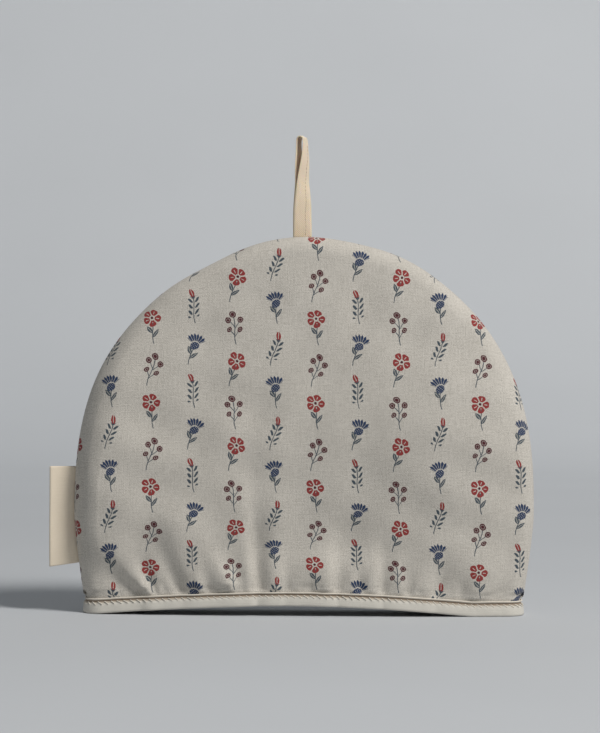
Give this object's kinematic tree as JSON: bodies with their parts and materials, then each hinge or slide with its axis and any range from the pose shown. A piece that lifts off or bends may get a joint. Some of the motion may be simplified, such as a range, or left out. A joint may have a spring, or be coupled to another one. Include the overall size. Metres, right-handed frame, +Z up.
{
  "type": "tea cosy",
  "caption": "Padded dome-shaped cover of printed cotton that stands on a bound hem, with a tape loop at the crown and a folded ribbon in the side seam",
  "frame": {"origin": "middle of the bounding box, on the surface that the hem rests on", "axes": "+Z up to the crown, the front faces -Y, the label is at -X"},
  "size_m": [0.3607, 0.0614, 0.3533],
  "materials": {
    "printed_cotton": "natural cotton twill with a small floral print",
    "binding_cotton": "plain cream cotton, topstitched",
    "loop_tape": "warm cream cotton tape, topstitched",
    "label_ribbon": "smooth cream ribbon"
  },
  "bodies": {
    "root": {"front_panel": "printed_cotton", "back_panel": "printed_cotton", "hem_binding": "binding_cotton", "hanging_loop": "loop_tape", "side_label": "label_ribbon"}
  },
  "joints": []
}
